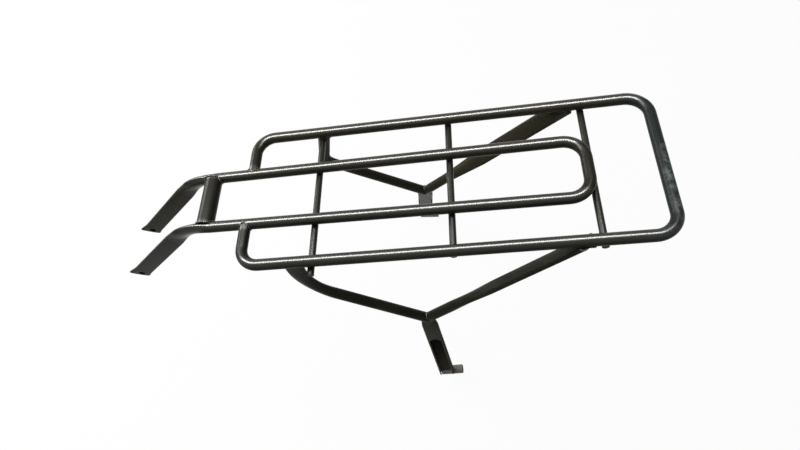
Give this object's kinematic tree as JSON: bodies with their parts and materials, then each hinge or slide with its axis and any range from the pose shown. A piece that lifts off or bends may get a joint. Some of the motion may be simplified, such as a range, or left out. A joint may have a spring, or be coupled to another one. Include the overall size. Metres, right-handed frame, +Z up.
{
  "type": "motorcycle luggage rack",
  "caption": "Welded tube luggage rack for a motorcycle: flat deck of bent rails over round crossbars, drilled front legs and splayed side stays.",
  "frame": {"origin": "middle of the deck, on the plane of the rails' tops that luggage rests on", "axes": "+X to the back of the motorcycle, along the rails; +Y to its right side; +Z up"},
  "size_m": [0.7741, 0.3215, 0.3481],
  "materials": {
    "paint": "semi-gloss black paint, lightly scuffed",
    "bare_steel": "unpainted, dull"
  },
  "bodies": {
    "root": {"outer_loop": "paint", "centre_hairpin": "paint", "front_bridge": "paint", "crossbar_front": "paint", "crossbar_middle": "paint", "crossbar_rear": "paint", "leg_bush_left": "bare_steel", "rear_strut_left": "paint", "front_strut_left": "paint", "leg_bush_right": "bare_steel", "rear_strut_right": "paint", "front_strut_right": "paint"}
  },
  "joints": []
}
